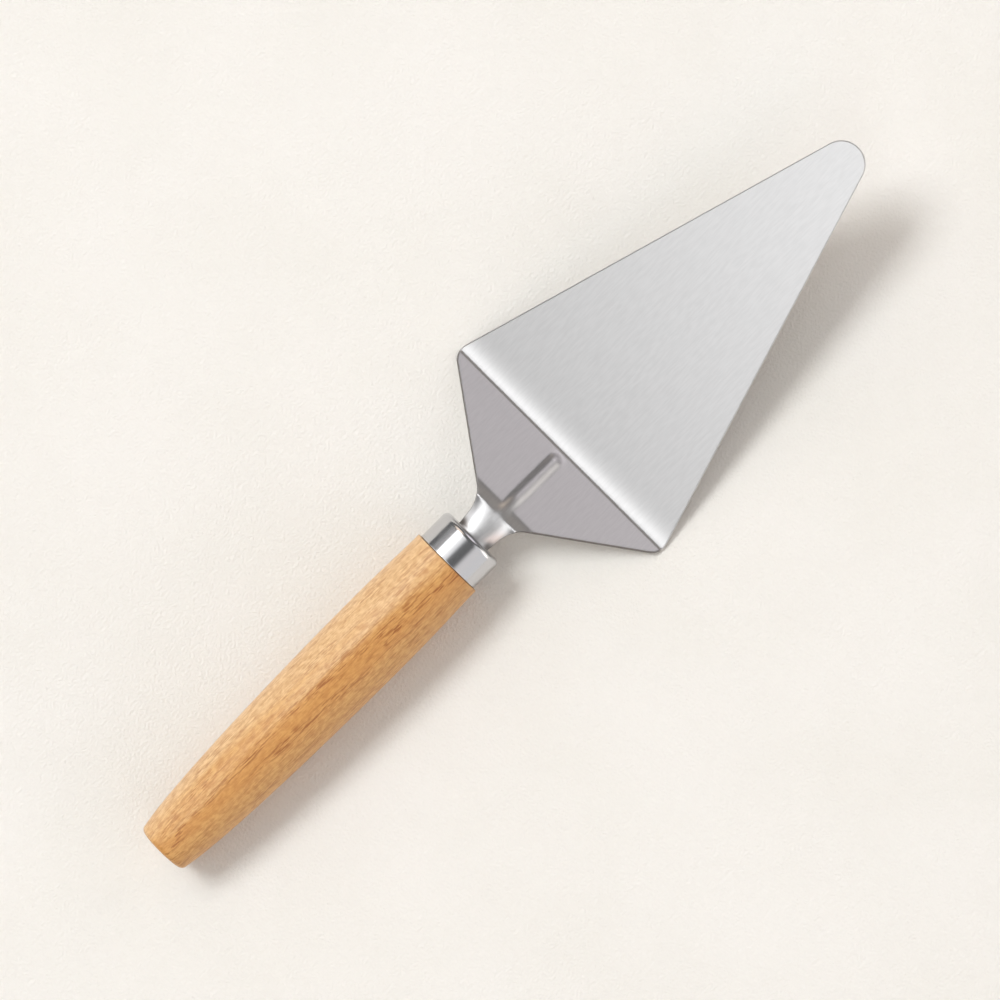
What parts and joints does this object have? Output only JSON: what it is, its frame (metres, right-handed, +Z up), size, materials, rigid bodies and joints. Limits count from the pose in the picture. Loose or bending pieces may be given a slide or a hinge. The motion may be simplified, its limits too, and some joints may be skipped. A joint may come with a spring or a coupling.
{
  "type": "pizza spatula",
  "caption": "Flat triangular steel serving blade with a cranked, half-round neck whose tang is bonded into a turned wooden handle behind a steel ferrule.",
  "frame": {"origin": "on the table that the tool lies on, under the middle of its length and width", "axes": "+X along the tool from the butt of the handle to the tip of the blade, +Y to the left when looking that way, +Z up from the table"},
  "size_m": [0.2684, 0.0782, 0.0327],
  "materials": {
    "brushed_steel": "fine straight brushing, lightly deburred edges",
    "polished_steel": "polished, with light handling marks",
    "oiled_wood": "turned, sanded and oiled, with open grain lines",
    "clear_glue": "cured amber epoxy"
  },
  "bodies": {
    "root": {"blade": "brushed_steel", "ferrule": "polished_steel", "handle": "oiled_wood", "tang_glue": "clear_glue"}
  },
  "joints": []
}
